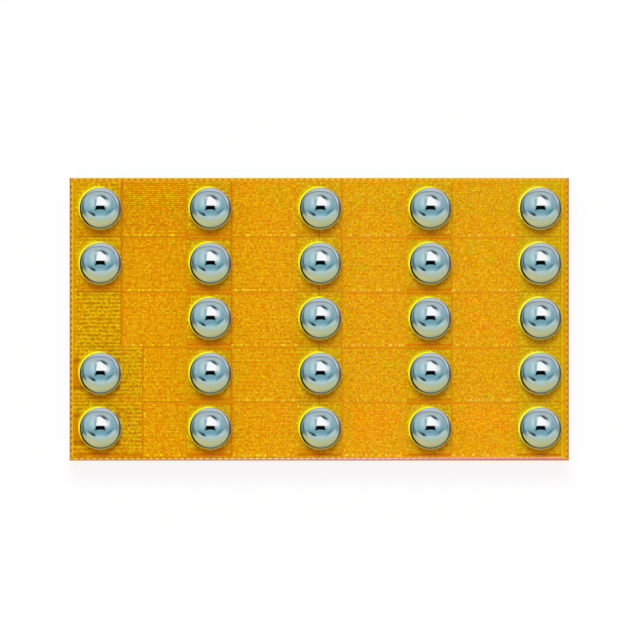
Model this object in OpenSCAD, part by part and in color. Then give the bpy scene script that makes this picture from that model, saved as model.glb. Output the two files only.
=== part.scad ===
// Gallium nitride power transistor in a wafer-level chip-scale package.
// The die lies on its bare silicon back with its solder bumps up, as it is seen before it is
// turned over and soldered down. Origin: centre of the back face. +X runs along the bump rows.

/* [Bump grid] */
// Distance between neighbouring bump columns
column_pitch = 1.0; // [0.9:0.05:1.3]
// Distance between neighbouring bump rows
row_pitch = 0.5; // [0.45:0.01:0.7]
// Largest diameter of a solder bump
bump_d = 0.375; // [0.35:0.005:0.42]
// Mean distance from the outer bump columns to the short edges of the die
end_margin = 0.27; // [0.25:0.005:0.4]
// Mean distance from the outer bump rows to the long edges of the die
side_margin = 0.285; // [0.25:0.005:0.4]
// Shift of the bump grid to the right of the metal below it
grid_shift_x = 0.01; // [0:0.001:0.012]
// Shift of the bump grid up from the metal below it
grid_shift_y = 0.008; // [0:0.001:0.012]

/* [Under-bump pads] */
// Diameter of the nickel flange that the solder wets
pad_d = 0.32; // [0.27:0.01:0.34]
// Diameter of the opening in the passivation film
opening_d = 0.24; // [0.16:0.01:0.26]
// Thickness of the flange above the film
pad_t = 0.005; // [0.003:0.001:0.012]

/* [Layers] */
// Thickness of the silicon substrate
silicon_t = 0.49; // [0.15:0.01:0.7]
// Thickness of the gallium nitride layer
gan_t = 0.006; // [0.003:0.001:0.012]
// Thickness of the dielectric under the metal
dielectric_t = 0.002; // [0.001:0.001:0.005]
// Thickness of the metal, which is inlaid flush in its dielectric
metal_t = 0.005; // [0.003:0.001:0.01]
// Thickness of the passivation film
film_t = 0.008; // [0.004:0.001:0.016]

/* [Die edge] */
// Width of the ledge that the laser groove leaves round the die
street_w = 0.01; // [0.004:0.001:0.014]
// Depth of the laser groove in the silicon
street_depth = 0.015; // [0.005:0.001:0.05]
// Distance from the sawn edge to the seal ring
ring_inset = 0.016; // [0.015:0.001:0.018]
// Width of the seal ring
ring_w = 0.008; // [0.004:0.001:0.009]
// Outer corner radius of the seal ring
ring_corner_r = 0.03; // [0.015:0.005:0.05]
// Distance from the sawn edge to the metal field
field_inset = 0.032; // [0.03:0.002:0.05]

/* [Source and drain metal] */
// Width of the bus bar under a bump column
bus_w = 0.41; // [0.36:0.01:0.5]
// Distance between neighbouring fingers of one comb
finger_pitch = 0.037; // [0.034:0.001:0.08]
// Width of one finger
finger_w = 0.0115; // [0.006:0.0005:0.0145]
// Distance from the end of a row to the edge of its first finger
finger_inset = 0.002; // [0.001:0.001:0.006]
// Gap between a finger's tip and the metal that it points to
tip_gap = 0.012; // [0.004:0.001:0.03]
// Gap between the metal of two rows
seam_w = 0.012; // [0.01:0.001:0.03]
// Length by which a drain bus bar stops short of a seam
drain_notch = 0.018; // [0.01:0.001:0.019]
// Width of the slot that splits the middle bus bar
split_w = 0.008; // [0.004:0.001:0.012]
// Length of the slot across the foot of each column
foot_slot_l = 0.36; // [0.2:0.01:0.38]
// Width of that slot
foot_slot_w = 0.012; // [0.005:0.001:0.014]
// Distance from the lower edge of the metal field to that slot
foot_slot_inset = 0.02; // [0.01:0.002:0.03]

/* [Gate metal] */
// Width of the gate runners in the seams and along the two short edges
runner_w = 0.006; // [0.003:0.001:0.008]
// Gap between the gate metal and the metal beside it
runner_gap = 0.012; // [0.006:0.001:0.014]
// Reach of a gate plate to the right of its column's centre line
gate_reach = 0.39; // [0.3:0.01:0.44]
// Width of the source strip beside a gate plate
strip_w = 0.03; // [0.015:0.005:0.05]
// Reach of a gate bump's landing to the right of that centre line
landing_reach = 0.19; // [0.18:0.01:0.28]
// Width of that landing
landing_w = 0.28; // [0.265:0.005:0.32]
// Width of the slot round the landing
slot_w = 0.009; // [0.005:0.001:0.012]
// Width of the metal left outside the slot
slot_inset = 0.006; // [0.004:0.001:0.02]

/* [Hidden] */
columns = 5;
rows = 5;
column_letters = "abcde";
open_site = "a3";
gate_sites = ["a4", "a5"];
gate_column = 0;
gate_rows = [for (r = [0 : rows - 1]) if (is_gate(gate_column, r)) r];
middle_column = (columns - 1) / 2;

$fn = 96;
cut_margin = 0.1;

die_w = (columns - 1) * column_pitch + 2 * end_margin;
die_d = (rows - 1) * row_pitch + 2 * side_margin;
film_w = die_w - 2 * street_w;
film_d = die_d - 2 * street_w;
field_w = die_w - 2 * field_inset;
field_d = die_d - 2 * field_inset;
tile_edge_x = field_w / 2 - runner_w - runner_gap;
bridge_w = seam_w + 2 * drain_notch - 2 * runner_gap;

z_gan = silicon_t;
z_dielectric = z_gan + gan_t;
z_metal = z_dielectric + dielectric_t;
z_film = z_metal + metal_t;
z_pad = z_film + film_t;
z_bump = z_pad + pad_t;

bump_r = bump_d / 2;
bump_centre_h = sqrt(bump_r * bump_r - pad_d * pad_d / 4);

sites = [
    for (c = [0 : columns - 1])
        for (r = [0 : rows - 1])
            if (site_name(c, r) != open_site) [c, r]
];

// The metal of a site is centred on the die, and its bump is a little off that centre.
function column_x(c) = (c - (columns - 1) / 2) * column_pitch;
function row_y(r) = ((rows - 1) / 2 - r) * row_pitch;
function bump_x(c) = column_x(c) + grid_shift_x;
function bump_y(r) = row_y(r) + grid_shift_y;
function site_name(c, r) = str(column_letters[c], r + 1);
function pad_name(s) = str("under_bump_pad_", site_name(s[0], s[1]));
function bump_name(s) = str("solder_bump_", site_name(s[0], s[1]));
function is_gate(c, r) = len([for (name = gate_sites) if (name == site_name(c, r)) name]) > 0;

// The second and fourth columns are drain and the others are source.
function is_drain(c) = c % 2 == 1;
function column_name(c) = str(is_drain(c) ? "drain" : "source", "_metal_", column_letters[c]);

silicon_colour = "#3c3b40";
gan_colour = "#8f9a6a";
dielectric_colour = "#a05f08";
ring_colour = "#b98a86";
metal_colour = "#e2a414";
gate_colour = "#c97a10";
film_colour = "#e0a010";
film_alpha = 0.4;
pad_colour = "#b8b4a4";
solder_colour = "#b4c4cc";

// Rows of metal: each row ends half a seam from its neighbour, or at the edge of the field.
function row_top(r) = r == 0 ? field_d / 2 : row_y(r) + row_pitch / 2 - seam_w / 2;
function row_bottom(r) = r == rows - 1 ? -field_d / 2 : row_y(r) - row_pitch / 2 + seam_w / 2;

// Bus bars: the outer two reach out to the edge runners.
function bus_left(c) = c == 0 ? -tile_edge_x : column_x(c) - bus_w / 2;
function bus_right(c) = c == columns - 1 ? tile_edge_x : column_x(c) + bus_w / 2;

// Beside the gate plates a narrow strip takes the place of the source bus bar.
strip_right = column_x(gate_column) + gate_reach + runner_gap + strip_w;
function comb_left(c, r) = is_gate(c, r) ? strip_right - strip_w : bus_left(c);
function comb_right(c, r) = is_gate(c, r) ? strip_right : bus_right(c);

// The drain bus bars stop short of each seam.
function comb_bottom(c, r) = row_bottom(r) + (is_drain(c) && r < rows - 1 ? drain_notch : 0);
function comb_top(c, r) = row_top(r) - (is_drain(c) && r > 0 ? drain_notch : 0);

// Fingers of source and drain take turns up each row, with a source finger at either end.
function finger_span(r) = row_top(r) - row_bottom(r) - 2 * finger_inset - finger_w;
function finger_steps(r) = round(finger_span(r) / finger_pitch);
function finger_step(r) = finger_span(r) / finger_steps(r);
function finger_ys(c, r) =
    let (
        first = row_bottom(r) + finger_inset + finger_w / 2 + (is_drain(c) ? finger_step(r) / 2 : 0),
        last = finger_steps(r) - (is_drain(c) ? 1 : 0)
    )
    [for (k = [0 : last]) first + k * finger_step(r)];
function reach_right(c, r) = comb_left(c + 1, r) - comb_right(c, r) - tip_gap;
function reach_left(c, r) = comb_left(c, r) - comb_right(c - 1, r) - tip_gap;

// One finger's four corners, walked from its lower root round its tip to its upper root.
function finger(x, y, reach) = [
    [x, y - finger_w / 2],
    [x + reach, y - finger_w / 2],
    [x + reach, y + finger_w / 2],
    [x, y + finger_w / 2]
];
function turned(points) = [for (i = [len(points) - 1 : -1 : 0]) points[i]];

// A comb's outline goes up the fingers on its right side and back down those on its left.
// The outer two combs have fingers on their inner side only.
function comb_outline(c, r) =
    let (
        x0 = comb_left(c, r),
        x1 = comb_right(c, r),
        up = [if (c < columns - 1) for (y = finger_ys(c, r)) each finger(x1, y, reach_right(c, r))],
        down = [if (c > 0) for (y = finger_ys(c, r)) each finger(x0, y, -reach_left(c, r))]
    )
    concat(
        [[x0, comb_bottom(c, r)], [x1, comb_bottom(c, r)]],
        up,
        [[x1, comb_top(c, r)], [x0, comb_top(c, r)]],
        turned(down)
    );

module rounded_rectangle(w, d, r) {
    square([w - 2 * r, d], center = true);
    square([w, d - 2 * r], center = true);
    for (x = [-1, 1], y = [-1, 1])
        translate([x * (w / 2 - r), y * (d / 2 - r)]) circle(r = r);
}

module ring_outline() {
    w = die_w - 2 * ring_inset;
    d = die_d - 2 * ring_inset;
    difference() {
        rounded_rectangle(w, d, ring_corner_r);
        rounded_rectangle(w - 2 * ring_w, d - 2 * ring_w, ring_corner_r - ring_w);
    }
}

// The middle bus bar is split down its own centre line, apart from the landings of its bumps.
module centre_split() {
    difference() {
        translate([column_x(middle_column), 0]) square([split_w, die_d], center = true);
        for (r = [0 : rows - 1])
            translate([bump_x(middle_column), bump_y(r)]) circle(d = pad_d);
    }
}

// A slot across the foot of each column eases the stress in the wide metal.
module foot_slot(c) {
    translate([column_x(c) - foot_slot_l / 2, -field_d / 2 + foot_slot_inset])
        square([foot_slot_l, foot_slot_w]);
}

module column_outline(c) {
    difference() {
        for (r = [0 : rows - 1])
            polygon(comb_outline(c, r));
        if (c == middle_column) centre_split();
        if (c != gate_column) foot_slot(c);
    }
}

// Between two drain bus bars a runner widens to fill the room that their notches leave.
module runner_outline() {
    for (side = [-1, 1])
        translate([side * (field_w - runner_w) / 2, 0]) square([runner_w, field_d], center = true);
    for (r = [0 : rows - 2])
        translate([0, row_y(r) - row_pitch / 2]) {
            square([field_w, runner_w], center = true);
            for (c = [0 : columns - 1])
                if (is_drain(c)) translate([column_x(c), 0]) square([bus_w, bridge_w], center = true);
        }
}

// A slot on three sides marks out the landing of a gate bump. Its fourth side feeds the bump.
module landing_slot() {
    landing_l = end_margin - field_inset - slot_inset + landing_reach;
    translate([landing_reach - landing_l, -landing_w / 2])
        difference() {
            square([landing_l, landing_w]);
            translate([slot_w, slot_w]) square([landing_l, landing_w - 2 * slot_w]);
        }
}

module gate_plate(r) {
    plate_l = end_margin - field_inset + gate_reach;
    difference() {
        translate([-field_w / 2, row_bottom(r)]) square([plate_l, row_top(r) - row_bottom(r)]);
        translate([column_x(gate_column), row_y(r)]) landing_slot();
    }
}

module gate_outline() {
    runner_outline();
    difference() {
        for (r = gate_rows)
            gate_plate(r);
        foot_slot(gate_column);
    }
}

module silicon_substrate() {
    color(silicon_colour) {
        translate([-die_w / 2, -die_d / 2, 0]) cube([die_w, die_d, silicon_t - street_depth]);
        translate([-film_w / 2, -film_d / 2, silicon_t - street_depth]) cube([film_w, film_d, street_depth]);
    }
}

module gan_layer() {
    color(gan_colour)
        translate([-film_w / 2, -film_d / 2, z_gan]) cube([film_w, film_d, gan_t]);
}

module metal_layer() {
    translate([0, 0, z_metal]) linear_extrude(metal_t) children();
}

// The dielectric is a sheet with a pocket for each piece of metal.
module interlayer_dielectric() {
    color(dielectric_colour) {
        translate([-film_w / 2, -film_d / 2, z_dielectric]) cube([film_w, film_d, dielectric_t]);
        metal_layer()
            difference() {
                square([film_w, film_d], center = true);
                ring_outline();
                gate_outline();
                for (c = [0 : columns - 1])
                    column_outline(c);
            }
    }
}

module seal_ring() {
    color(ring_colour)
        metal_layer() ring_outline();
}

module gate_metal() {
    color(gate_colour)
        metal_layer() gate_outline();
}

module column_metal(c) {
    color(metal_colour)
        metal_layer() column_outline(c);
}

module passivation_film() {
    color(film_colour, film_alpha)
        difference() {
            translate([-film_w / 2, -film_d / 2, z_film]) cube([film_w, film_d, film_t]);
            for (s = sites)
                translate([bump_x(s[0]), bump_y(s[1]), z_film - cut_margin])
                    cylinder(d = opening_d, h = film_t + 2 * cut_margin);
        }
}

// A pad fills its opening in the film and spreads over the film's edge in a flange.
module under_bump_pad(s) {
    color(pad_colour)
        translate([bump_x(s[0]), bump_y(s[1]), 0]) {
            translate([0, 0, z_film]) cylinder(d = opening_d, h = film_t);
            translate([0, 0, z_pad]) cylinder(d = pad_d, h = pad_t);
        }
}

// Surface tension pulls the solder into a ball that is cut off by the flange it wets.
module solder_bump(s) {
    color(solder_colour)
        translate([bump_x(s[0]), bump_y(s[1]), z_bump])
            difference() {
                translate([0, 0, bump_centre_h]) sphere(d = bump_d);
                translate([-bump_d, -bump_d, -bump_d]) cube([2 * bump_d, 2 * bump_d, bump_d]);
            }
}

silicon_substrate();
gan_layer();
interlayer_dielectric();
seal_ring();
gate_metal();
passivation_film();
for (c = [0 : columns - 1])
    column_metal(c);
for (s = sites)
    under_bump_pad(s);
for (s = sites)
    solder_bump(s);
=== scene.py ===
# A bumped gallium nitride transistor die, lying on its back and seen from straight above.
import math

import bmesh
import bpy
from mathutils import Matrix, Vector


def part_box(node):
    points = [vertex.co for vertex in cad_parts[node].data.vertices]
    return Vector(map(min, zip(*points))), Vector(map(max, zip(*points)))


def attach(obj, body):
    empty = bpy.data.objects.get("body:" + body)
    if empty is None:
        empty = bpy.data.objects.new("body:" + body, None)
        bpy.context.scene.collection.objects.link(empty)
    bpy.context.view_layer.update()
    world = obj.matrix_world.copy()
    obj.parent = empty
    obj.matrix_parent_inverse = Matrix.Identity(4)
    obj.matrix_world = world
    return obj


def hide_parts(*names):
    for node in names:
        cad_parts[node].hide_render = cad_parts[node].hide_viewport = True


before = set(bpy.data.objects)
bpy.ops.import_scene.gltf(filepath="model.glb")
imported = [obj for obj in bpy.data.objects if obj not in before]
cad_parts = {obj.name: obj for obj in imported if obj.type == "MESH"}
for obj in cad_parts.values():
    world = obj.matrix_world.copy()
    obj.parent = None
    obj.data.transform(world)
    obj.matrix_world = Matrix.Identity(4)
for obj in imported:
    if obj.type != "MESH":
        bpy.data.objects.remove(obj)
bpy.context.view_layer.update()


# Silicon substrate.
# The body of the die is a slab of single-crystal silicon. A saw cuts its sides and a grinding wheel
# thins its back, which leaves fine scratches. A laser groove leaves a burnt ledge round its top.
MM = 0.001


def colour(red, green, blue):
    """A colour as a picture holds it, from 0 to 255, in the linear values that shaders take."""
    shares = [value / 255 for value in (red, green, blue)]
    linear = [s / 12.92 if s <= 0.04045 else ((s + 0.055) / 1.055) ** 2.4 for s in shares]
    return (*linear, 1.0)


def add_node(tree, kind, inputs=None, **settings):
    """A new node. Each input is given a value, or a link from another node's socket."""
    made = tree.nodes.new(kind)
    for setting, value in settings.items():
        setattr(made, setting, value)
    for socket, value in (inputs or {}).items():
        if isinstance(value, bpy.types.NodeSocket):
            tree.links.new(value, made.inputs[socket])
        else:
            made.inputs[socket].default_value = value
    return made


def calc(tree, operation, *values):
    """The result of one sum."""
    return add_node(tree, "ShaderNodeMath", dict(enumerate(values)), operation=operation).outputs[0]


def step(tree, value, start, end):
    """A mask that is 0 where the value is at start and 1 where it is at end."""
    limits = {"Value": value, "From Min": start, "From Max": end}
    return add_node(tree, "ShaderNodeMapRange", limits, interpolation_type="SMOOTHSTEP").outputs["Result"]


def mix(tree, share, first, second):
    """Two colours mixed by a share from 0, all first, to 1, all second."""
    return add_node(tree, "ShaderNodeMix", {0: share, 6: first, 7: second}, data_type="RGBA").outputs[2]


def both(tree, first, second):
    """The share that two masks have in common."""
    return calc(tree, "MULTIPLY", first, second)


def between(tree, mask, low, high):
    """A value that is low where the mask is 0 and high where it is 1."""
    return calc(tree, "MULTIPLY_ADD", mask, calc(tree, "SUBTRACT", high, low), low)


def distance(tree, across, along):
    """The distance covered by two steps at right angles."""
    return calc(tree, "SQRT", calc(tree, "MULTIPLY_ADD", across, across, both(tree, along, along)))


def ramp(tree, value, stops):
    """A colour looked up on a strip of (place, colour) stops."""
    made = add_node(tree, "ShaderNodeValToRGB", {"Fac": value})
    elements = made.color_ramp.elements
    while len(elements) < len(stops):
        elements.new(1.0)
    for element, (place, tint) in zip(elements, stops):
        element.position = place
        element.color = tint
    return made.outputs["Color"]


def new_material(name, **values):
    """A material, its tree and its shader, with the values that are the same all over."""
    made = bpy.data.materials.new(name)
    made.use_nodes = True
    shader = made.node_tree.nodes["Principled BSDF"]
    for socket, value in values.items():
        shader.inputs[socket.replace("_", " ")].default_value = value
    return made, made.node_tree, shader


def die_place(tree):
    """Places on the die in millimetres: the vector and its three parts."""
    place = add_node(tree, "ShaderNodeTexCoord").outputs["Object"]
    scaled = add_node(tree, "ShaderNodeVectorMath", {0: place, "Scale": 1 / MM}, operation="SCALE")
    parts = add_node(tree, "ShaderNodeSeparateXYZ", {0: scaled.outputs[0]})
    return scaled.outputs[0], *parts.outputs


def dress(node, material):
    """Gives a CAD node its finish."""
    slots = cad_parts[node].data.materials
    slots.clear()
    slots.append(material)


saw_stretch = (2.0, 2.0, 90.0)
wheel_centre = (-9.0, 6.0)
wheel_marks_per_mm = 30.0
mark_depth = 0.002
back_skin = 0.0005
ledge_low = 0.474
end_ledge = 2.255
silicon, tree, shader = new_material("sawn_silicon", Metallic=0.2, Specular_IOR_Level=0.1)
place, x, y, z = die_place(tree)
stretched = add_node(tree, "ShaderNodeMapping", {"Vector": place, "Scale": saw_stretch})
saw_marks = add_node(
    tree, "ShaderNodeTexNoise", {"Vector": stretched.outputs[0], "Scale": 1.0, "Detail": 5.0}
).outputs["Fac"]
wheel_x = calc(tree, "SUBTRACT", x, wheel_centre[0])
wheel_y = calc(tree, "SUBTRACT", y, wheel_centre[1])
grind_marks = add_node(
    tree,
    "ShaderNodeTexNoise",
    {"W": distance(tree, wheel_x, wheel_y), "Scale": wheel_marks_per_mm, "Detail": 5.0},
    noise_dimensions="1D",
).outputs["Fac"]
on_back = calc(tree, "LESS_THAN", z, back_skin)
marks = between(tree, on_back, saw_marks, grind_marks)
silicon_tint = ramp(tree, marks, [(0.3, colour(70, 80, 83)), (0.7, colour(94, 104, 108))])
on_end_ledge = step(tree, calc(tree, "ABSOLUTE", x), end_ledge - 0.005, end_ledge + 0.005)
ledge_tint = mix(tree, on_end_ledge, colour(240, 190, 26), colour(200, 146, 24))
silicon_tint = mix(tree, step(tree, z, ledge_low - 0.002, ledge_low), silicon_tint, ledge_tint)
tree.links.new(silicon_tint, shader.inputs["Base Color"])
tree.links.new(between(tree, marks, 0.3, 0.6), shader.inputs["Roughness"])
mark_bump = add_node(
    tree, "ShaderNodeBump", {"Height": marks, "Strength": 0.4, "Distance": mark_depth * MM}
)
tree.links.new(mark_bump.outputs[0], shader.inputs["Normal"])
dress("silicon_substrate", silicon)


# Gallium nitride layer.
# The crystal that carries the current is grown on the silicon a few micrometres thick. It is clear
# and yellow-green, and shows only as a line round the die's edge.
crystal, tree, shader = new_material("gallium_nitride", Roughness=0.2, IOR=2.3)
place, x, y, z = die_place(tree)
growth = add_node(
    tree, "ShaderNodeTexNoise", {"Vector": place, "Scale": 40.0, "Detail": 3.0}
).outputs["Fac"]
crystal_tint = ramp(tree, growth, [(0.35, colour(120, 118, 66)), (0.65, colour(158, 152, 92))])
tree.links.new(crystal_tint, shader.inputs["Base Color"])
dress("gan_layer", crystal)


# Interlayer dielectric.
# A glass sheet insulates the crystal from the metal, which lies in pockets of it. Where it shows
# between the metal it looks red to amber, and it has a fine grain from the layers below.
grain_group = bpy.data.node_groups.new("fine_grain", "ShaderNodeTree")
grain_group.interface.new_socket("Vector", in_out="INPUT", socket_type="NodeSocketVector")
grain_group.interface.new_socket("Stretch", in_out="INPUT", socket_type="NodeSocketVector")
grain_group.interface.new_socket("Low", in_out="INPUT", socket_type="NodeSocketFloat")
grain_group.interface.new_socket("High", in_out="INPUT", socket_type="NodeSocketFloat")
grain_group.interface.new_socket("Mask", in_out="OUTPUT", socket_type="NodeSocketFloat")
given = add_node(grain_group, "NodeGroupInput").outputs
stretched = add_node(
    grain_group, "ShaderNodeVectorMath", {0: given["Vector"], 1: given["Stretch"]}, operation="MULTIPLY"
)
speckle = add_node(
    grain_group, "ShaderNodeTexNoise", {"Vector": stretched.outputs[0], "Scale": 1.0, "Detail": 1.0}
)
sharpened = step(grain_group, speckle.outputs["Fac"], given["Low"], given["High"])
add_node(grain_group, "NodeGroupOutput", {"Mask": sharpened})


def paint(tree, share, tint, under, strength=1.0):
    """A tint laid over another where the mask is."""
    return mix(tree, both(tree, share, strength), under, tint)


def grain(tree, place, stretch, low=0.35, high=0.65):
    """A mask of fine specks, so many to the millimetre along each axis."""
    inputs = {"Vector": place, "Stretch": stretch, "Low": low, "High": high}
    return add_node(tree, "ShaderNodeGroup", inputs, node_tree=grain_group).outputs["Mask"]


silicon_low, silicon_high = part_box("silicon_substrate")
stitch_pitch = 0.057
stitch_share = 0.62
first_stitch = (0.0366, 0.004)
end_strip = 2.236


def at_ends(tree, x):
    """A mask that is 1 in the strips along the two short edges."""
    return calc(tree, "GREATER_THAN", calc(tree, "ABSOLUTE", x), end_strip)


def stitches(tree, x, y):
    """A mask of dashes along all four edges of the die."""
    along_x = calc(tree, "SUBTRACT", x, first_stitch[0])
    along_y = calc(tree, "SUBTRACT", y, first_stitch[1])
    along = between(tree, at_ends(tree, x), along_x, along_y)
    wave = calc(tree, "COSINE", calc(tree, "MULTIPLY", along, 2 * math.pi / stitch_pitch))
    return both(tree, step(tree, wave, -0.2, 0.4), stitch_share)


def beyond(tree, x, y, inset):
    """A mask that is 1 nearer to the die's edge than the inset."""
    past_x = calc(tree, "GREATER_THAN", calc(tree, "ABSOLUTE", x), silicon_high.x / MM - inset)
    past_y = calc(tree, "GREATER_THAN", calc(tree, "ABSOLUTE", y), silicon_high.y / MM - inset)
    return calc(tree, "MAXIMUM", past_x, past_y)


def by_edge(tree, x, y, top, bottom, left, right):
    """Four tints, each for the strip along one edge."""
    long_edges = mix(tree, calc(tree, "GREATER_THAN", y, 0.0), bottom, top)
    short_edges = mix(tree, calc(tree, "GREATER_THAN", x, 0.0), left, right)
    return mix(tree, at_ends(tree, x), long_edges, short_edges)


def along_edge(tree, x, tints):
    """Four tints in turn from the left end of the die to the right."""
    share = calc(tree, "MULTIPLY_ADD", x, MM / (silicon_high.x - silicon_low.x), 0.5)
    stops = (0.14, 0.38, 0.62, 0.86)
    return ramp(tree, share, [(stop, colour(*tint)) for stop, tint in zip(stops, tints)])


column_pitch = 1.0
row_pitch = 0.5
bus_half = 0.205
spark_stretch = (56.0, 3.0, 1.0)
spark_rise = (0.004, 0.006)
spark_fall = (0.025, 0.022)
plate_right = -1.6
plate_top = -0.25
landing_half = 0.125
landing_slot_half = 0.016


def height_above_seam(tree, y):
    """The distance up from the seam below."""
    return calc(tree, "FLOORED_MODULO", calc(tree, "SUBTRACT", y, row_pitch / 2), row_pitch)


def from_column(tree, x):
    """The distance to one side of the nearest bump column."""
    return calc(tree, "PINGPONG", x, column_pitch / 2)


def from_row(tree, y):
    """The distance above or below the nearest bump row."""
    return calc(tree, "PINGPONG", y, row_pitch / 2)


def from_drain(tree, x):
    """The distance to one side of the nearest drain bar."""
    return calc(tree, "ABSOLUTE", calc(tree, "SUBTRACT", calc(tree, "ABSOLUTE", x), column_pitch))


def drift(tree, x):
    """A mask that grows from the left end of the die to the middle, where the finish changes."""
    return step(tree, x, -1.3, 0.6)


def band(tree, value, rise, fall):
    """A mask that comes in over one pair of values and goes out over another."""
    return both(tree, step(tree, value, *rise), step(tree, value, *fall))


def with_sparks(tree, place, x, y, tint):
    """A tint with bright dots in a line just above each seam."""
    over_seam = band(tree, height_above_seam(tree, y), spark_rise, spark_fall)
    spark_tint = mix(tree, drift(tree, x), colour(252, 255, 16), colour(255, 236, 100))
    return paint(tree, over_seam, spark_tint, tint, grain(tree, place, spark_stretch, 0.56, 0.6))


def in_plates(tree, x, y):
    """A mask of the corner that the two gate plates take up."""
    return both(tree, calc(tree, "LESS_THAN", x, plate_right), calc(tree, "LESS_THAN", y, plate_top))


def landing_sides(tree, x, y):
    """A mask of the slots above and below each gate bump's landing."""
    in_slot = calc(tree, "COMPARE", from_row(tree, y), landing_half, landing_slot_half)
    return both(tree, in_slot, in_plates(tree, x, y))


foot_slots_top = -1.23
plate_gap_half = 0.015
runner_side = 2.21
field_inset = 0.032
ring_outer_inset = 0.0165
oxide, tree, shader = new_material("oxide", Roughness=0.3, Specular_IOR_Level=0.1)
place, x, y, z = die_place(tree)
oxide_specks = grain(tree, place, (60.0, 60.0, 1.0))
among_fingers = step(tree, from_column(tree, x), bus_half - 0.004, bus_half)
under_bus = calc(tree, "SUBTRACT", 1.0, among_fingers)
source_slot = mix(tree, oxide_specks, colour(140, 34, 0), colour(186, 66, 0))
drain_slot = mix(tree, oxide_specks, colour(206, 44, 0), colour(236, 92, 0))
across_drain = calc(tree, "LESS_THAN", from_drain(tree, x), bus_half)
slot_tint = mix(tree, across_drain, source_slot, drain_slot)
gap_tint = mix(tree, oxide_specks, colour(222, 116, 0), colour(240, 156, 2))
top_row = between(tree, step(tree, y, 0.6, 0.9), 0.2, 0.8)
gap_tint = paint(tree, step(tree, x, -0.5, -1.2), colour(196, 76, 0), gap_tint, top_row)
oxide_tint = mix(tree, among_fingers, slot_tint, with_sparks(tree, place, x, y, gap_tint))
in_foot_slots = both(tree, step(tree, y, foot_slots_top + 0.005, foot_slots_top), under_bus)
oxide_tint = paint(tree, in_foot_slots, colour(214, 44, 0), oxide_tint)
beside_plate = calc(tree, "COMPARE", x, plate_right, plate_gap_half)
plate_gap = mix(tree, oxide_specks, colour(196, 70, 0), colour(226, 110, 10))
oxide_tint = paint(tree, beside_plate, plate_gap, oxide_tint, calc(tree, "LESS_THAN", y, plate_top))
runner_gap = mix(tree, oxide_specks, colour(172, 108, 4), colour(214, 160, 14))
beside_runner = calc(tree, "GREATER_THAN", calc(tree, "ABSOLUTE", x), runner_side)
oxide_tint = paint(tree, beside_runner, runner_gap, oxide_tint)
oxide_tint = paint(tree, landing_sides(tree, x, y), colour(176, 40, 0), oxide_tint)
lower_margin = along_edge(tree, x, [(188, 106, 8), (200, 134, 6), (200, 154, 10), (220, 172, 120)])
inner_margin = by_edge(
    tree, x, y, colour(226, 160, 14), lower_margin, colour(234, 192, 4), colour(228, 160, 6)
)
oxide_tint = paint(tree, beyond(tree, x, y, field_inset), inner_margin, oxide_tint)
bars = by_edge(
    tree, x, y,
    along_edge(tree, x, [(104, 12, 0), (124, 34, 0), (136, 60, 20), (190, 132, 96)]),
    along_edge(tree, x, [(200, 158, 30), (206, 160, 100), (226, 156, 130), (206, 128, 8)]),
    colour(140, 50, 20), colour(156, 66, 70),
)
gaps = by_edge(
    tree, x, y,
    along_edge(tree, x, [(250, 186, 10), (252, 196, 10), (252, 204, 30), (228, 180, 104)]),
    along_edge(tree, x, [(240, 198, 16), (244, 216, 90), (244, 190, 120), (206, 136, 8)]),
    colour(222, 150, 40), colour(228, 164, 66),
)
outer_margin = mix(tree, stitches(tree, x, y), gaps, bars)
oxide_tint = paint(tree, beyond(tree, x, y, ring_outer_inset), outer_margin, oxide_tint)
tree.links.new(oxide_tint, shader.inputs["Base Color"])
dress("interlayer_dielectric", oxide)


# Seal ring.
# A thin metal frame runs round the die just inside its edge and stops cracks and damp. Rows of short
# metal bars stitch it to the layers below, and they show through it as dashes.
seal_metal, tree, shader = new_material("seal_metal", Metallic=0.1, Roughness=0.4, Specular_IOR_Level=0.1)
place, x, y, z = die_place(tree)
bars = by_edge(
    tree, x, y,
    along_edge(tree, x, [(164, 76, 2), (186, 108, 2), (196, 128, 2), (188, 128, 14)]),
    along_edge(tree, x, [(70, 34, 66), (116, 76, 116), (178, 116, 196), (222, 116, 206)]),
    colour(122, 14, 0), colour(160, 68, 34),
)
gaps = by_edge(
    tree, x, y,
    along_edge(tree, x, [(242, 172, 14), (244, 184, 10), (246, 186, 6), (242, 182, 40)]),
    along_edge(tree, x, [(250, 206, 84), (250, 214, 176), (248, 204, 226), (246, 164, 206)]),
    colour(250, 180, 20), colour(236, 156, 24),
)
edge_tint = mix(tree, stitches(tree, x, y), gaps, bars)
tree.links.new(edge_tint, shader.inputs["Base Color"])
dress("seal_ring", seal_metal)


# Gate metal.
# Two plates under the gate bumps feed thin runners in the seams between rows and along both short
# edges. A slot marks out each bump's landing, which is darker than the plate round it.
finger_step = 0.0364
first_finger = 0.0137
plug_pitch = 0.0105
spot_pitch = 0.036
foot_line = -1.235
foot_line_outer = 0.012
foot_line_inner = 0.006
speck_group = bpy.data.node_groups.new("fine_specks", "ShaderNodeTree")
speck_group.interface.new_socket("Vector", in_out="INPUT", socket_type="NodeSocketVector")
speck_group.interface.new_socket("Pitch", in_out="INPUT", socket_type="NodeSocketFloat")
for output in ("Tone", "Hue", "Dot"):
    speck_group.interface.new_socket(output, in_out="OUTPUT", socket_type="NodeSocketFloat")
given = add_node(speck_group, "NodeGroupInput").outputs
cells = add_node(
    speck_group,
    "ShaderNodeTexVoronoi",
    {"Vector": given["Vector"], "Scale": calc(speck_group, "DIVIDE", 1.0, given["Pitch"])},
    voronoi_dimensions="2D",
)
draws = add_node(speck_group, "ShaderNodeSeparateColor", {0: cells.outputs["Color"]}).outputs
tone = step(speck_group, draws["Red"], 0.38, 0.62)
hue = step(speck_group, draws["Green"], 0.38, 0.62)
dot = both(speck_group, step(speck_group, cells.outputs["Distance"], 0.45, 0.15), draws["Blue"])
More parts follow.
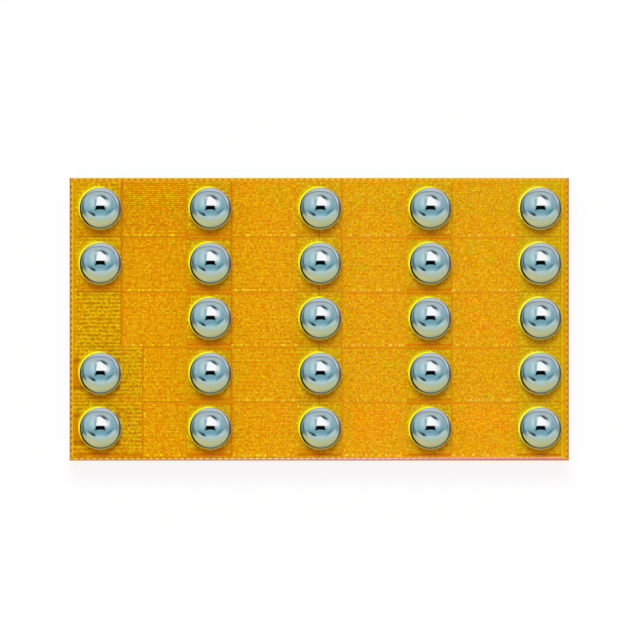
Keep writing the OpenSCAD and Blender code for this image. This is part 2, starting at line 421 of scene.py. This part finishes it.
add_node(speck_group, "NodeGroupOutput", {"Tone": tone, "Hue": hue, "Dot": dot})


def specks(tree, place, pitch):
    """Masks of small cells: a tone and a hue for each, and a dot of its own strength in each."""
    inputs = {"Vector": place, "Pitch": pitch}
    return add_node(tree, "ShaderNodeGroup", inputs, node_tree=speck_group).outputs


def row_lines(tree, y):
    """A wave up each row: 1 in line with a source finger and -1 in line with a drain finger."""
    above_first = calc(tree, "SUBTRACT", height_above_seam(tree, y), first_finger)
    return calc(tree, "COSINE", calc(tree, "MULTIPLY", above_first, 2 * math.pi / finger_step))


def freckled(tree, place, tint, share):
    """A tint with fine freckles of orange and olive."""
    freckles = specks(tree, place, plug_pitch)["Hue"]
    return mix(tree, share, tint, mix(tree, freckles, colour(255, 124, 0), colour(160, 164, 8)))


def hatched(tree, place, y, tints):
    """Three tints in fine lines along the rows, broken up by specks that are longer than they are high."""
    squeezed = add_node(tree, "ShaderNodeVectorMath", {0: place, 1: (0.7, 1.0, 1.0)}, operation="MULTIPLY")
    tones = between(tree, specks(tree, squeezed.outputs[0], plug_pitch)["Tone"], 0.13, 0.83)
    lined = calc(tree, "MULTIPLY_ADD", row_lines(tree, y), 0.44, tones)
    tint = ramp(tree, lined, list(zip((0.0, 0.5, 1.0), tints)))
    tint = freckled(tree, place, tint, 0.4)
    return paint(tree, specks(tree, place, spot_pitch)["Dot"], colour(252, 226, 4), tint)


def near(tree, value, middle, outer, inner):
    """A mask round a middle value: 0 further from it than outer, and 1 nearer than inner."""
    return step(tree, calc(tree, "ABSOLUTE", calc(tree, "SUBTRACT", value, middle)), outer, inner)


def with_foot_line(tree, y, tint):
    """A tint with the red line that runs along the foot of the bottom row."""
    on_line = near(tree, y, foot_line, foot_line_outer, foot_line_inner)
    return paint(tree, on_line, colour(190, 50, 0), tint, 0.7)


def with_painted_shadow_above_seam(tree, y, tint, strength):
    """A tint with painted shadow: it reddens just above each seam, where the bump over it casts shade."""
    shadow_band = step(tree, height_above_seam(tree, y), 0.1, 0.04)
    return paint(tree, shadow_band, colour(226, 84, 0), tint, strength)


landing_right = -1.81
gate_gold, tree, shader = new_material("gate_metal", Metallic=0.3, Roughness=0.45, Specular_IOR_Level=0.1)
place, x, y, z = die_place(tree)
plate = hatched(tree, place, y, (colour(160, 64, 0), colour(214, 154, 2), colour(254, 254, 10)))
beside_row = from_row(tree, y)
on_landing = both(
    tree,
    step(tree, beside_row, landing_half + 0.007, landing_half + 0.005),
    step(tree, x, landing_right, landing_right - 0.01),
)
in_landing_edge = step(tree, beside_row, landing_half - 0.025, landing_half - 0.013)
landing_brown = mix(tree, in_landing_edge, colour(216, 96, 0), colour(130, 0, 0))
plate = paint(tree, on_landing, landing_brown, plate, 0.85)
# Painted shadow: the plate reddens just above each seam, under the bump's shade.
plate = with_painted_shadow_above_seam(tree, y, with_foot_line(tree, y, plate), 0.25)
seam_specks = grain(tree, place, (50.0, 50.0, 1.0))
runner = mix(tree, seam_specks, colour(112, 84, 20), colour(178, 120, 12))
runner = paint(tree, drift(tree, x), colour(226, 180, 54), runner, 0.8)
at_end = step(tree, calc(tree, "ABSOLUTE", x), runner_side + 0.01, runner_side + 0.015)
runner = paint(tree, at_end, colour(232, 188, 10), runner)
on_bridge = step(tree, from_drain(tree, x), bus_half + 0.002, bus_half - 0.002)
runner = paint(tree, on_bridge, colour(220, 152, 4), runner)
tree.links.new(mix(tree, in_plates(tree, x, y), runner, plate), shader.inputs["Base Color"])
dress("gate_metal", gate_gold)


# Source and drain metal.
# Five plated combs carry the current. Under each bump column runs a bus bar, and its fingers reach
# between those of the next comb. Small plugs to the layer below make the metal look speckled.
comb_nodes = [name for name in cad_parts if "_metal_" in name]
pink_pitch = 0.031
open_site_right = -1.7
open_site_half = 0.26
comb_end = 2.2
shade_rise = (0.476, 0.479)
shade_fall = (0.494, 0.492)
comb_gold, tree, shader = new_material("comb_metal", Metallic=0.3, Roughness=0.45, Specular_IOR_Level=0.1)
place, x, y, z = die_place(tree)
rightward = drift(tree, x)
line_share = between(tree, step(tree, x, -0.1, 0.1), 0.2, -0.2)
line_share = both(tree, line_share, step(tree, x, 1.2, 0.9))
tones = specks(tree, place, plug_pitch)["Tone"]
finger_tone = calc(tree, "MULTIPLY_ADD", row_lines(tree, y), line_share, tones)
finger = ramp(tree, calc(tree, "MULTIPLY_ADD", rightward, 0.23, finger_tone), [
    (0.0, colour(226, 72, 0)),
    (0.5, colour(252, 186, 0)),
    (1.0, colour(255, 255, 4)),
])
finger = freckled(tree, place, finger, 0.5)
finger = paint(tree, specks(tree, place, spot_pitch)["Dot"], colour(255, 255, 20), finger)
pink_share = between(tree, rightward, 0.0, 0.5)
finger = paint(tree, specks(tree, place, pink_pitch)["Dot"], colour(250, 206, 120), finger, pink_share)
bus = hatched(tree, place, y, (colour(146, 56, 0), colour(210, 154, 2), colour(252, 254, 10)))
open_site = both(
    tree,
    step(tree, x, open_site_right, open_site_right - 0.05),
    step(tree, calc(tree, "ABSOLUTE", y), open_site_half, open_site_half - 0.02),
)
bus = mix(tree, between(tree, open_site, 0.6, 0.0), bus, finger)
bus = paint(tree, step(tree, x, 1.4, 1.75), colour(210, 210, 8), bus, 0.2)
# Painted shadow: the bus reddens just above each seam, most in the left columns and not at the open site.
leftward = between(tree, step(tree, x, 2.6, -2.0), 0.06, 0.44)
painted_shadow_share = both(tree, leftward, calc(tree, "SUBTRACT", 1.0, open_site))
bus = with_painted_shadow_above_seam(tree, y, with_foot_line(tree, y, bus), painted_shadow_share)
under_seam = band(tree, height_above_seam(tree, y), shade_rise, shade_fall)
finger = paint(tree, under_seam, colour(240, 120, 4), finger, 0.6)
finger = with_sparks(tree, place, x, y, finger)
on_bus = step(tree, from_column(tree, x), bus_half + 0.004, bus_half - 0.004)
comb_tint = mix(tree, on_bus, finger, bus)
# A dark red line runs along the right edge of each bus. It is made stronger in the left columns as painted
# shade at the bumps' right.
along_column = calc(tree, "FLOORED_MODULO", calc(tree, "ADD", x, column_pitch / 2), column_pitch)
right_edge_line_and_shade = near(tree, along_column, column_pitch / 2 + bus_half, 0.018, 0.006)
line_and_shade_share = between(tree, step(tree, x, 0.2, -0.8), 0.4, 0.8)
comb_tint = paint(tree, right_edge_line_and_shade, colour(196, 70, 0), comb_tint, line_and_shade_share)
comb_tint = paint(tree, step(tree, x, comb_end, comb_end + 0.004), colour(238, 220, 8), comb_tint)
tree.links.new(comb_tint, shader.inputs["Base Color"])
for comb_node in comb_nodes:
    dress(comb_node, comb_gold)


# Passivation film.
# A clear amber polyimide sheet is spun over the whole face and opened over each pad. Round each bump it
# carries a painted highlight: a bright yellow ring, paler at the upper left towards the key light.
film_gap = 0.0005
film_low, film_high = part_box("passivation_film")
film_mesh = bmesh.new()
film_mesh.from_mesh(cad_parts["passivation_film"].data)
bmesh.ops.remove_doubles(film_mesh, verts=film_mesh.verts, dist=0.00001 * MM)
for vertex in film_mesh.verts:
    if vertex.co.z < (film_low.z + film_high.z) / 2:
        vertex.co.z += film_gap * MM
film_data = bpy.data.meshes.new("film")
film_mesh.to_mesh(film_data)
film_mesh.free()
film = bpy.data.objects.new("film", film_data)
bpy.context.scene.collection.objects.link(film)

halo_inner = 0.195
halo_outer = 0.202
halo_shift = (0.003, 0.003)
glow_outer = 0.24
film_cover = 0.2
edge_cover = 0.05
edge_inset = 0.033
halo_cover = 0.95
shaded_side = (0.87, 0.5)
lit_side = (-0.707, 0.707)
middle_low, middle_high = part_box("solder_bump_c3")
middle_bump = (middle_low + middle_high) / 2 / MM
polyimide, tree, shader = new_material("polyimide", Roughness=0.12, Specular_IOR_Level=0.3)
place, x, y, z = die_place(tree)
right = calc(tree, "SUBTRACT", x, middle_bump.x)
above = calc(tree, "SUBTRACT", y, middle_bump.y)


def beside_nearest(tree, value, pitch):
    """The distance from the nearest of five evenly spaced lines."""
    number = calc(tree, "ROUND", calc(tree, "DIVIDE", value, pitch))
    number = calc(tree, "MAXIMUM", calc(tree, "MINIMUM", number, 2.0), -2.0)
    return calc(tree, "SUBTRACT", value, calc(tree, "MULTIPLY", number, pitch))


beside_x = calc(tree, "ADD", beside_nearest(tree, right, column_pitch), halo_shift[0])
beside_y = calc(tree, "SUBTRACT", beside_nearest(tree, above, row_pitch), halo_shift[1])
from_bump = distance(tree, beside_x, beside_y)


def on_side(tree, direction, start, end):
    """A mask of one side of each bump: 0 and 1 at two cosines of the angle to that direction."""
    along = calc(tree, "MULTIPLY_ADD", beside_x, direction[0], both(tree, beside_y, direction[1]))
    return step(tree, calc(tree, "DIVIDE", along, from_bump), start, end)


left_end = calc(tree, "LESS_THAN", right, -1.5 * column_pitch)
middle_row = calc(tree, "COMPARE", above, 0.0, row_pitch / 2)
has_bump = calc(tree, "SUBTRACT", 1.0, both(tree, left_end, middle_row))
# Painted highlight: a bright yellow ring round each bump, dimmed at the right side, away from the key
# light, and paler in the right column.
painted_halo = both(tree, step(tree, from_bump, halo_outer, halo_inner), has_bump)
painted_halo = both(tree, painted_halo, between(tree, on_side(tree, shaded_side, 0.4, 0.85), 1.0, 0.2))
# The glow is painted light: a paler ring on the upper left of each bump, towards the key light.
glow = both(tree, step(tree, from_bump, glow_outer, halo_inner), has_bump)
glow = both(tree, glow, on_side(tree, lit_side, 0.6, 0.97))
painted_halo = calc(tree, "MAXIMUM", painted_halo, both(tree, glow, 0.5))
painted_halo_tint = mix(tree, step(tree, right, 1.2, 1.7), colour(255, 252, 16), colour(255, 254, 60))
amber = mix(tree, grain(tree, place, (84.0, 88.0, 1.0)), colour(228, 146, 0), colour(236, 180, 0))
tree.links.new(mix(tree, painted_halo, amber, painted_halo_tint), shader.inputs["Base Color"])
slant = add_node(tree, "ShaderNodeLayerWeight", {"Blend": 0.5}).outputs["Facing"]
cover = between(tree, beyond(tree, x, y, edge_inset), film_cover, edge_cover)
cover = calc(tree, "MULTIPLY_ADD", both(tree, slant, slant), 0.5, cover)
cover = calc(tree, "MAXIMUM", cover, both(tree, painted_halo, halo_cover))
lit_through = calc(tree, "SUBTRACT", 1.0, add_node(tree, "ShaderNodeLightPath").outputs["Is Shadow Ray"])
tree.links.new(both(tree, cover, lit_through), shader.inputs["Alpha"])
film_data.materials.clear()
film_data.materials.append(polyimide)
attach(film, "root")
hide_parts("passivation_film")


# Under-bump pads.
# Each pad is plated nickel. A plug of it fills the opening in the film, and a flange spreads over
# the film's edge for the solder to wet.
pad_nodes = [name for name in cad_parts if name.startswith("under_bump_pad_")]
turn_segments = 64
sharp_angle = math.radians(40)


def turned_mesh(name, profile, segments):
    """A closed mesh turned from (radius, height) points that start and end on the axis."""
    points = [(0.0, 0.0, profile[0][1])]
    for radius, height in profile[1:-1]:
        for turn in range(segments):
            angle = 2 * math.pi * turn / segments
            points.append((radius * math.cos(angle), radius * math.sin(angle), height))
    points.append((0.0, 0.0, profile[-1][1]))
    rings = [range(1 + start * segments, 1 + (start + 1) * segments) for start in range(len(profile) - 2)]
    faces = []
    for turn in range(segments):
        after = (turn + 1) % segments
        faces.append((0, rings[0][after], rings[0][turn]))
        for lower, upper in zip(rings, rings[1:]):
            faces.append((lower[turn], lower[after], upper[after], upper[turn]))
        faces.append((rings[-1][turn], rings[-1][after], len(points) - 1))
    made = bpy.data.meshes.new(name)
    made.from_pydata(points, [], faces)
    made.shade_smooth()
    made.set_sharp_from_angle(angle=sharp_angle)
    return made


site_tree = bpy.data.node_groups.new("piece_on_each_site", "GeometryNodeTree")
site_tree.interface.new_socket("Sites", in_out="INPUT", socket_type="NodeSocketGeometry")
piece_input = site_tree.interface.new_socket("Piece", in_out="INPUT", socket_type="NodeSocketObject")
finish_input = site_tree.interface.new_socket("Finish", in_out="INPUT", socket_type="NodeSocketMaterial")
site_tree.interface.new_socket("Pieces", in_out="OUTPUT", socket_type="NodeSocketGeometry")
given = add_node(site_tree, "NodeGroupInput").outputs
template = add_node(site_tree, "GeometryNodeObjectInfo", {"Object": given["Piece"]})
placed = add_node(
    site_tree,
    "GeometryNodeInstanceOnPoints",
    {"Points": given["Sites"], "Instance": template.outputs["Geometry"]},
)
realized = add_node(site_tree, "GeometryNodeRealizeInstances", {"Geometry": placed.outputs["Instances"]})
finished = add_node(
    site_tree, "GeometryNodeSetMaterial", {"Geometry": realized.outputs[0], "Material": given["Finish"]}
)
add_node(site_tree, "NodeGroupOutput", {"Pieces": finished.outputs[0]})


def set_on_sites(name, piece_mesh, nodes, material):
    """One mesh of a piece repeated at the foot of each of its CAD nodes, which it replaces."""
    boxes = [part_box(node) for node in nodes]
    feet = [((low.x + high.x) / 2, (low.y + high.y) / 2, low.z) for low, high in boxes]
    site_mesh = bpy.data.meshes.new(name + "_sites")
    site_mesh.from_pydata(feet, [], [])
    piece = bpy.data.objects.new(name, site_mesh)
    template = bpy.data.objects.new(name + "_template", piece_mesh)
    for made in (piece, template):
        bpy.context.scene.collection.objects.link(made)
    modifier = piece.modifiers.new("sites", "NODES")
    modifier.node_group = site_tree
    modifier[piece_input.identifier] = template
    modifier[finish_input.identifier] = material
    evaluated = piece.evaluated_get(bpy.context.evaluated_depsgraph_get())
    piece_data = bpy.data.meshes.new_from_object(evaluated)
    piece.modifiers.clear()
    piece.data = piece_data
    bpy.data.objects.remove(template)
    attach(piece, "root")
    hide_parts(*nodes)
    return piece


pad_low, pad_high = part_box(pad_nodes[0])
flange_r = (pad_high.x - pad_low.x) / 2
flange_low = film_high.z - film_low.z
flange_top = pad_high.z - pad_low.z
plug_r = 0.12 * MM
rim = 0.001 * MM
pad_profile = [
    (0.0, 0.0),
    (plug_r, 0.0),
    (plug_r, flange_low),
    (flange_r, flange_low),
    (flange_r, flange_top - rim),
    (flange_r - rim, flange_top),
    (0.0, flange_top),
]
nickel, tree, shader = new_material("plated_nickel", Metallic=1.0)
place, x, y, z = die_place(tree)
plating = grain(tree, place, (120.0, 120.0, 120.0))
nickel_tint = mix(tree, plating, colour(168, 160, 140), colour(198, 190, 168))
tree.links.new(nickel_tint, shader.inputs["Base Color"])
tree.links.new(between(tree, plating, 0.25, 0.45), shader.inputs["Roughness"])
pad_mesh = turned_mesh("pad", pad_profile, turn_segments)
pads = set_on_sites("pads", pad_mesh, pad_nodes, nickel)


# Solder bumps.
# Each bump is a ball of tin, silver and copper solder. It is reflowed on its pad, where surface
# tension pulls it round and leaves it as bright as a mirror.
bump_nodes = [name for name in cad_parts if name.startswith("solder_bump_")]
bump_low, bump_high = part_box(bump_nodes[0])
bump_h = bump_high.z - bump_low.z
bump_foot_r = flange_r
bump_r = (bump_foot_r**2 + bump_h**2) / (2 * bump_h)
bump_centre_h = bump_h - bump_r
bump_rings = 36
foot_angle = -math.asin(bump_centre_h / bump_r)
bump_profile = [(0.0, 0.0)]
for ring in range(bump_rings):
    angle = foot_angle + (math.pi / 2 - foot_angle) * ring / bump_rings
    bump_profile.append((bump_r * math.cos(angle), bump_centre_h + bump_r * math.sin(angle)))
bump_profile.append((0.0, bump_h))
solder, tree, shader = new_material("solder", Metallic=1.0)
place, x, y, z = die_place(tree)
frost = add_node(tree, "ShaderNodeTexNoise", {"Vector": place, "Scale": 30.0, "Detail": 4.0}).outputs["Fac"]
solder_tint = ramp(tree, frost, [(0.35, colour(246, 247, 248)), (0.7, colour(250, 250, 250))])
tree.links.new(solder_tint, shader.inputs["Base Color"])
tree.links.new(between(tree, frost, 0.02, 0.06), shader.inputs["Roughness"])
bump_mesh = turned_mesh("bump", bump_profile, turn_segments)
bumps = set_on_sites("bumps", bump_mesh, bump_nodes, solder)


# Floor.
# The die lies on a plain white sheet, which keeps a soft shadow of it. The sheet is cut out under
# the die, so that the ground back can be seen from below.
floor_half = 150 * MM


def floor_corners(low_x, low_y, high_x, high_y):
    """The corners of a rectangle that lies on the floor, in turn."""
    return [(low_x, low_y, 0.0), (high_x, low_y, 0.0), (high_x, high_y, 0.0), (low_x, high_y, 0.0)]


floor_data = bpy.data.meshes.new("floor")
floor_data.from_pydata(
    floor_corners(-floor_half, -floor_half, floor_half, floor_half)
    + floor_corners(silicon_low.x, silicon_low.y, silicon_high.x, silicon_high.y),
    [],
    [(side, (side + 1) % 4, 4 + (side + 1) % 4, 4 + side) for side in range(4)],
)
floor = bpy.data.objects.new("floor", floor_data)
bpy.context.scene.collection.objects.link(floor)
floor_shadow_share = 0.12
white_sheet = bpy.data.materials.new("white_sheet")
white_sheet.use_nodes = True
tree = white_sheet.node_tree
tree.nodes.clear()
rays = add_node(tree, "ShaderNodeLightPath").outputs
seen = calc(tree, "MAXIMUM", rays["Is Camera Ray"], rays["Is Glossy Ray"])
seen = calc(tree, "MAXIMUM", seen, rays["Is Transmission Ray"])
matte = add_node(tree, "ShaderNodeBsdfDiffuse", {"Color": (0.95, 0.95, 0.95, 1.0)})
glow = add_node(tree, "ShaderNodeEmission", {"Color": (1.0, 1.0, 1.0, 1.0), "Strength": 1.0})
sheet = add_node(
    tree,
    "ShaderNodeMixShader",
    {0: both(tree, seen, 1 - floor_shadow_share), 1: matte.outputs[0], 2: glow.outputs[0]},
)
add_node(tree, "ShaderNodeOutputMaterial", {"Surface": sheet.outputs[0]})
floor_data.materials.append(white_sheet)


# Studio.
# Soft light comes from all round, with a key light from the top and a little to the left. Polished
# solder mirrors the studio: a pale dome, a white window, dark screens and a beige bench.
key = bpy.data.objects.new("key", bpy.data.lights.new("key", "SUN"))
bpy.context.scene.collection.objects.link(key)
key.data.energy = 1.75
key.data.color = (0.77, 1.20, 1.16)
key.data.angle = math.radians(20)
key.rotation_euler = (math.radians(-23), math.radians(-2), 0)
key.visible_glossy = False

world = bpy.data.worlds.new("studio")
bpy.context.scene.world = world
world.use_nodes = True
tree = world.node_tree
tree.nodes.clear()
towards = add_node(tree, "ShaderNodeTexCoord").outputs["Generated"]
east, north, up = add_node(tree, "ShaderNodeSeparateXYZ", {0: towards}).outputs

# A level mirror ball seen from above shows each direction at one place on its disc. The studio is
# laid out on that disc: u to the right and v to the back, both 1 at the ball's rim.
spread = calc(tree, "MULTIPLY", calc(tree, "SQRT", calc(tree, "MULTIPLY_ADD", up, 0.5, 0.5001)), 2.0)
u = calc(tree, "DIVIDE", east, spread)
v = calc(tree, "DIVIDE", north, spread)
reach = distance(tree, u, v)


def line(a, b, c):
    """The value of a u + b v + c."""
    return calc(tree, "MULTIPLY_ADD", u, a, calc(tree, "MULTIPLY_ADD", v, b, c))


def patch(centre, size, turn, softness):
    """A mask of a soft ellipse on the disc."""
    cos, sin = math.cos(math.radians(turn)), math.sin(math.radians(turn))
    long = line(cos / size[0], sin / size[0], -(centre[0] * cos + centre[1] * sin) / size[0])
    across = line(-sin / size[1], cos / size[1], (centre[0] * sin - centre[1] * cos) / size[1])
    return step(tree, distance(tree, long, across), 1 + softness, 1 - softness)


# The dome is pale blue, with a lit panel to the left, a duller one to the right and a lamp.
v_share = calc(tree, "MULTIPLY_ADD", v, 0.5, 0.5)
u_squared = both(tree, u, u)
dome = ramp(tree, v_share, [
    (0.35, colour(134, 180, 190)),
    (0.40, colour(113, 161, 174)),
    (0.44, colour(118, 168, 180)),
    (0.50, colour(136, 182, 190)),
    (0.60, colour(152, 189, 197)),
    (0.70, colour(160, 194, 202)),
    (0.80, colour(168, 192, 198)),
    (0.90, colour(172, 186, 190)),
    (0.95, colour(182, 197, 204)),
])
dome = paint(tree, patch((-0.36, 0.29), (0.11, 0.24), -6, 0.9), colour(206, 228, 233), dome, 0.6)
dome = paint(tree, patch((0.62, 0.12), (0.14, 0.4), 0, 0.8), colour(118, 168, 180), dome, 0.7)
dome = paint(tree, patch((0.36, 0.22), (0.10, 0.14), 0, 0.9), colour(228, 232, 236), dome, 0.95)

# The bench takes up the front and rises at both sides. Dark gaps part it from the dome.
right_rise = calc(tree, "MAXIMUM", line(0.85, 0, -0.2125), 0.0)
left_rise = calc(tree, "MAXIMUM", line(-0.55, 0, -0.132), 0.0)
bench_top = calc(tree, "ADD", calc(tree, "ADD", right_rise, left_rise), -0.36)
bench_depth = calc(tree, "MULTIPLY_ADD", u_squared, -0.25, v_share)
bench = ramp(tree, bench_depth, [
    (0.02, colour(124, 138, 114)),
    (0.06, colour(166, 176, 130)),
    (0.11, colour(190, 190, 137)),
    (0.16, colour(184, 192, 147)),
    (0.20, colour(177, 195, 168)),
    (0.25, colour(181, 201, 190)),
    (0.30, colour(180, 208, 212)),
    (0.335, colour(158, 194, 200)),
    (0.37, colour(132, 177, 184)),
])
bench = paint(tree, patch((-0.42, -0.70), (0.30, 0.12), -25, 0.9), colour(212, 200, 142), bench, 0.5)
studio = paint(tree, step(tree, calc(tree, "SUBTRACT", bench_top, v), -0.06, 0.06), bench, dome)
studio = paint(tree, patch((-0.42, -0.255), (0.20, 0.06), -29, 0.8), colour(48, 72, 78), studio, 0.85)
studio = paint(tree, patch((-0.33, -0.31), (0.10, 0.05), -27, 0.7), colour(10, 20, 24), studio, 0.95)
studio = paint(tree, patch((0.46, -0.18), (0.22, 0.06), 43, 0.9), colour(80, 120, 130), studio, 0.85)

# The window is white, with pale and dark edges to its frame.
studio = paint(tree, patch((-0.17, 0.53), (0.11, 0.06), 20, 0.8), colour(206, 218, 222), studio, 0.6)
studio = paint(tree, patch((-0.245, 0.30), (0.03, 0.18), 6, 0.8), colour(96, 142, 154), studio, 0.6)
studio = paint(tree, patch((0.19, 0.53), (0.18, 0.055), -28, 0.7), colour(50, 58, 62), studio, 0.95)
studio = paint(tree, patch((-0.02, 0.605), (0.19, 0.03), 3, 0.8), colour(96, 106, 110), studio, 0.65)
window = both(tree, step(tree, line(1.0, -0.17, 0.22), -0.03, 0.03), step(tree, v, 0.10, 0.14))
window = both(tree, window, step(tree, line(0.75, 1.0, -0.575), 0.03, -0.03))
window = both(tree, window, step(tree, line(-0.35, 1.0, -0.58), 0.03, -0.03))
window = both(tree, window, step(tree, u, 0.42, 0.22))
studio = paint(tree, window, colour(255, 255, 255), studio)

# A black screen with a curved foot hangs in front of the window.
screen_foot = calc(tree, "MULTIPLY_ADD", u_squared, 0.65, line(0, 1.0, 0.065))
screen_side = calc(tree, "ADD", calc(tree, "ABSOLUTE", u), line(0, 0.3, -0.238))
screen = both(tree, step(tree, v, 0.158, 0.108), step(tree, screen_foot, -0.03, 0.03))
screen = both(tree, screen, step(tree, screen_side, 0.03, -0.03))
studio = paint(tree, screen, colour(2, 4, 6), studio)

# A rounded hoop runs round the dome. It is grey at the right and dark at the left.
hoop_half = (0.84, 0.91)
hoop_centre = (-0.03, -0.1)
hoop_power = 2.5
hoop_across = calc(tree, "ABSOLUTE", line(1 / hoop_half[0], 0, -hoop_centre[0] / hoop_half[0]))
hoop_along = calc(tree, "ABSOLUTE", line(0, 1 / hoop_half[1], -hoop_centre[1] / hoop_half[1]))
hoop = calc(
    tree, "ADD", calc(tree, "POWER", hoop_across, hoop_power), calc(tree, "POWER", hoop_along, hoop_power)
)
hoop = calc(tree, "POWER", hoop, 1 / hoop_power)
outside = both(tree, step(tree, hoop, 1.0, 1.04), step(tree, v, -0.05, 0.2))
outside = both(tree, outside, step(tree, u, -0.6, -0.2))
studio = paint(tree, outside, colour(188, 202, 212), studio, 0.8)
hoop_right = both(tree, near(tree, hoop, 1.0, 0.045, 0.01), step(tree, v, 0.05, 0.25))
studio = paint(tree, hoop_right, colour(128, 138, 142), studio, 0.9)
hoop_left = both(tree, near(tree, hoop, 0.975, 0.1, 0.0), step(tree, u, -0.4, -0.6))
hoop_left = both(tree, hoop_left, both(tree, step(tree, v, 0.5, 0.05), step(tree, v, -0.36, -0.2)))
studio = paint(tree, hoop_left, colour(50, 62, 62), studio, 0.9)
studio = paint(tree, patch((-0.76, -0.17), (0.19, 0.07), 112, 0.8), colour(82, 96, 92), studio, 0.85)
studio = paint(tree, patch((0.80, 0.42), (0.2, 0.035), 118, 0.8), colour(210, 218, 222), studio, 0.7)

# The rim of the ball mirrors what lies low behind it: dark in front, and bluer to the back.
left_rim = ramp(tree, v_share, [
    (0.02, colour(96, 100, 98)),
    (0.16, colour(10, 10, 22)),
    (0.36, colour(24, 24, 42)),
    (0.55, colour(50, 54, 88)),
    (0.80, colour(84, 86, 136)),
    (0.96, colour(158, 162, 202)),
])
right_rim = ramp(tree, v_share, [
    (0.02, colour(96, 100, 98)),
    (0.22, colour(84, 90, 96)),
    (0.45, colour(62, 72, 98)),
    (0.62, colour(66, 86, 122)),
    (0.80, colour(94, 104, 148)),
    (0.96, colour(158, 162, 202)),
])
rim_tint = mix(tree, step(tree, u, -0.3, 0.3), left_rim, right_rim)
studio = paint(tree, patch((0.85, 0.0), (0.11, 0.2), 0, 0.8), colour(136, 138, 130), studio, 0.85)
side_rim = both(tree, both(tree, u_squared, u_squared), line(0.015, 0, 0.04))
past_rim = calc(tree, "ADD", reach, calc(tree, "ADD", side_rim, line(-0.012, -0.022, -0.92)))
studio = paint(tree, step(tree, past_rim, 0.0, 0.05), rim_tint, studio)

ambient = (0.78, 0.47, 0.49, 1.0)
rays = add_node(tree, "ShaderNodeLightPath").outputs
seen = calc(tree, "MAXIMUM", rays["Is Camera Ray"], rays["Is Transmission Ray"])
around = mix(tree, rays["Is Glossy Ray"], ambient, studio)
around = mix(tree, seen, around, (1.0, 1.0, 1.0, 1.0))
background = add_node(tree, "ShaderNodeBackground", {"Color": around, "Strength": 1.0})
add_node(tree, "ShaderNodeOutputWorld", {"Surface": background.outputs[0]})

# The bumps mirror the studio alone, and neither each other nor the face that they stand on.
for piece in [*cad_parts.values(), film, pads, bumps, floor]:
    piece.visible_glossy = False


# Camera.
# A long lens looks straight down, so that every bump shows the same face. Its height gives the film's
# top the picture's scale, and it stands a little off the die's centre, as in the picture.
picture_px = 640
px_per_mm = 110.0
die_centre_px = (319.25, 319.2)
camera = bpy.data.objects.new("camera", bpy.data.cameras.new("camera"))
bpy.context.scene.collection.objects.link(camera)
camera.data.lens = 1200
camera.data.sensor_width = 36
camera_h = picture_px / px_per_mm * camera.data.lens / camera.data.sensor_width
camera.location = (
    (picture_px / 2 - die_centre_px[0]) / px_per_mm * MM,
    (die_centre_px[1] - picture_px / 2) / px_per_mm * MM,
    film_high.z + camera_h * MM,
)
camera.data.clip_start = MM
camera.data.clip_end = 1000 * MM
bpy.context.scene.camera = camera
bpy.context.scene.view_settings.view_transform = "Standard"
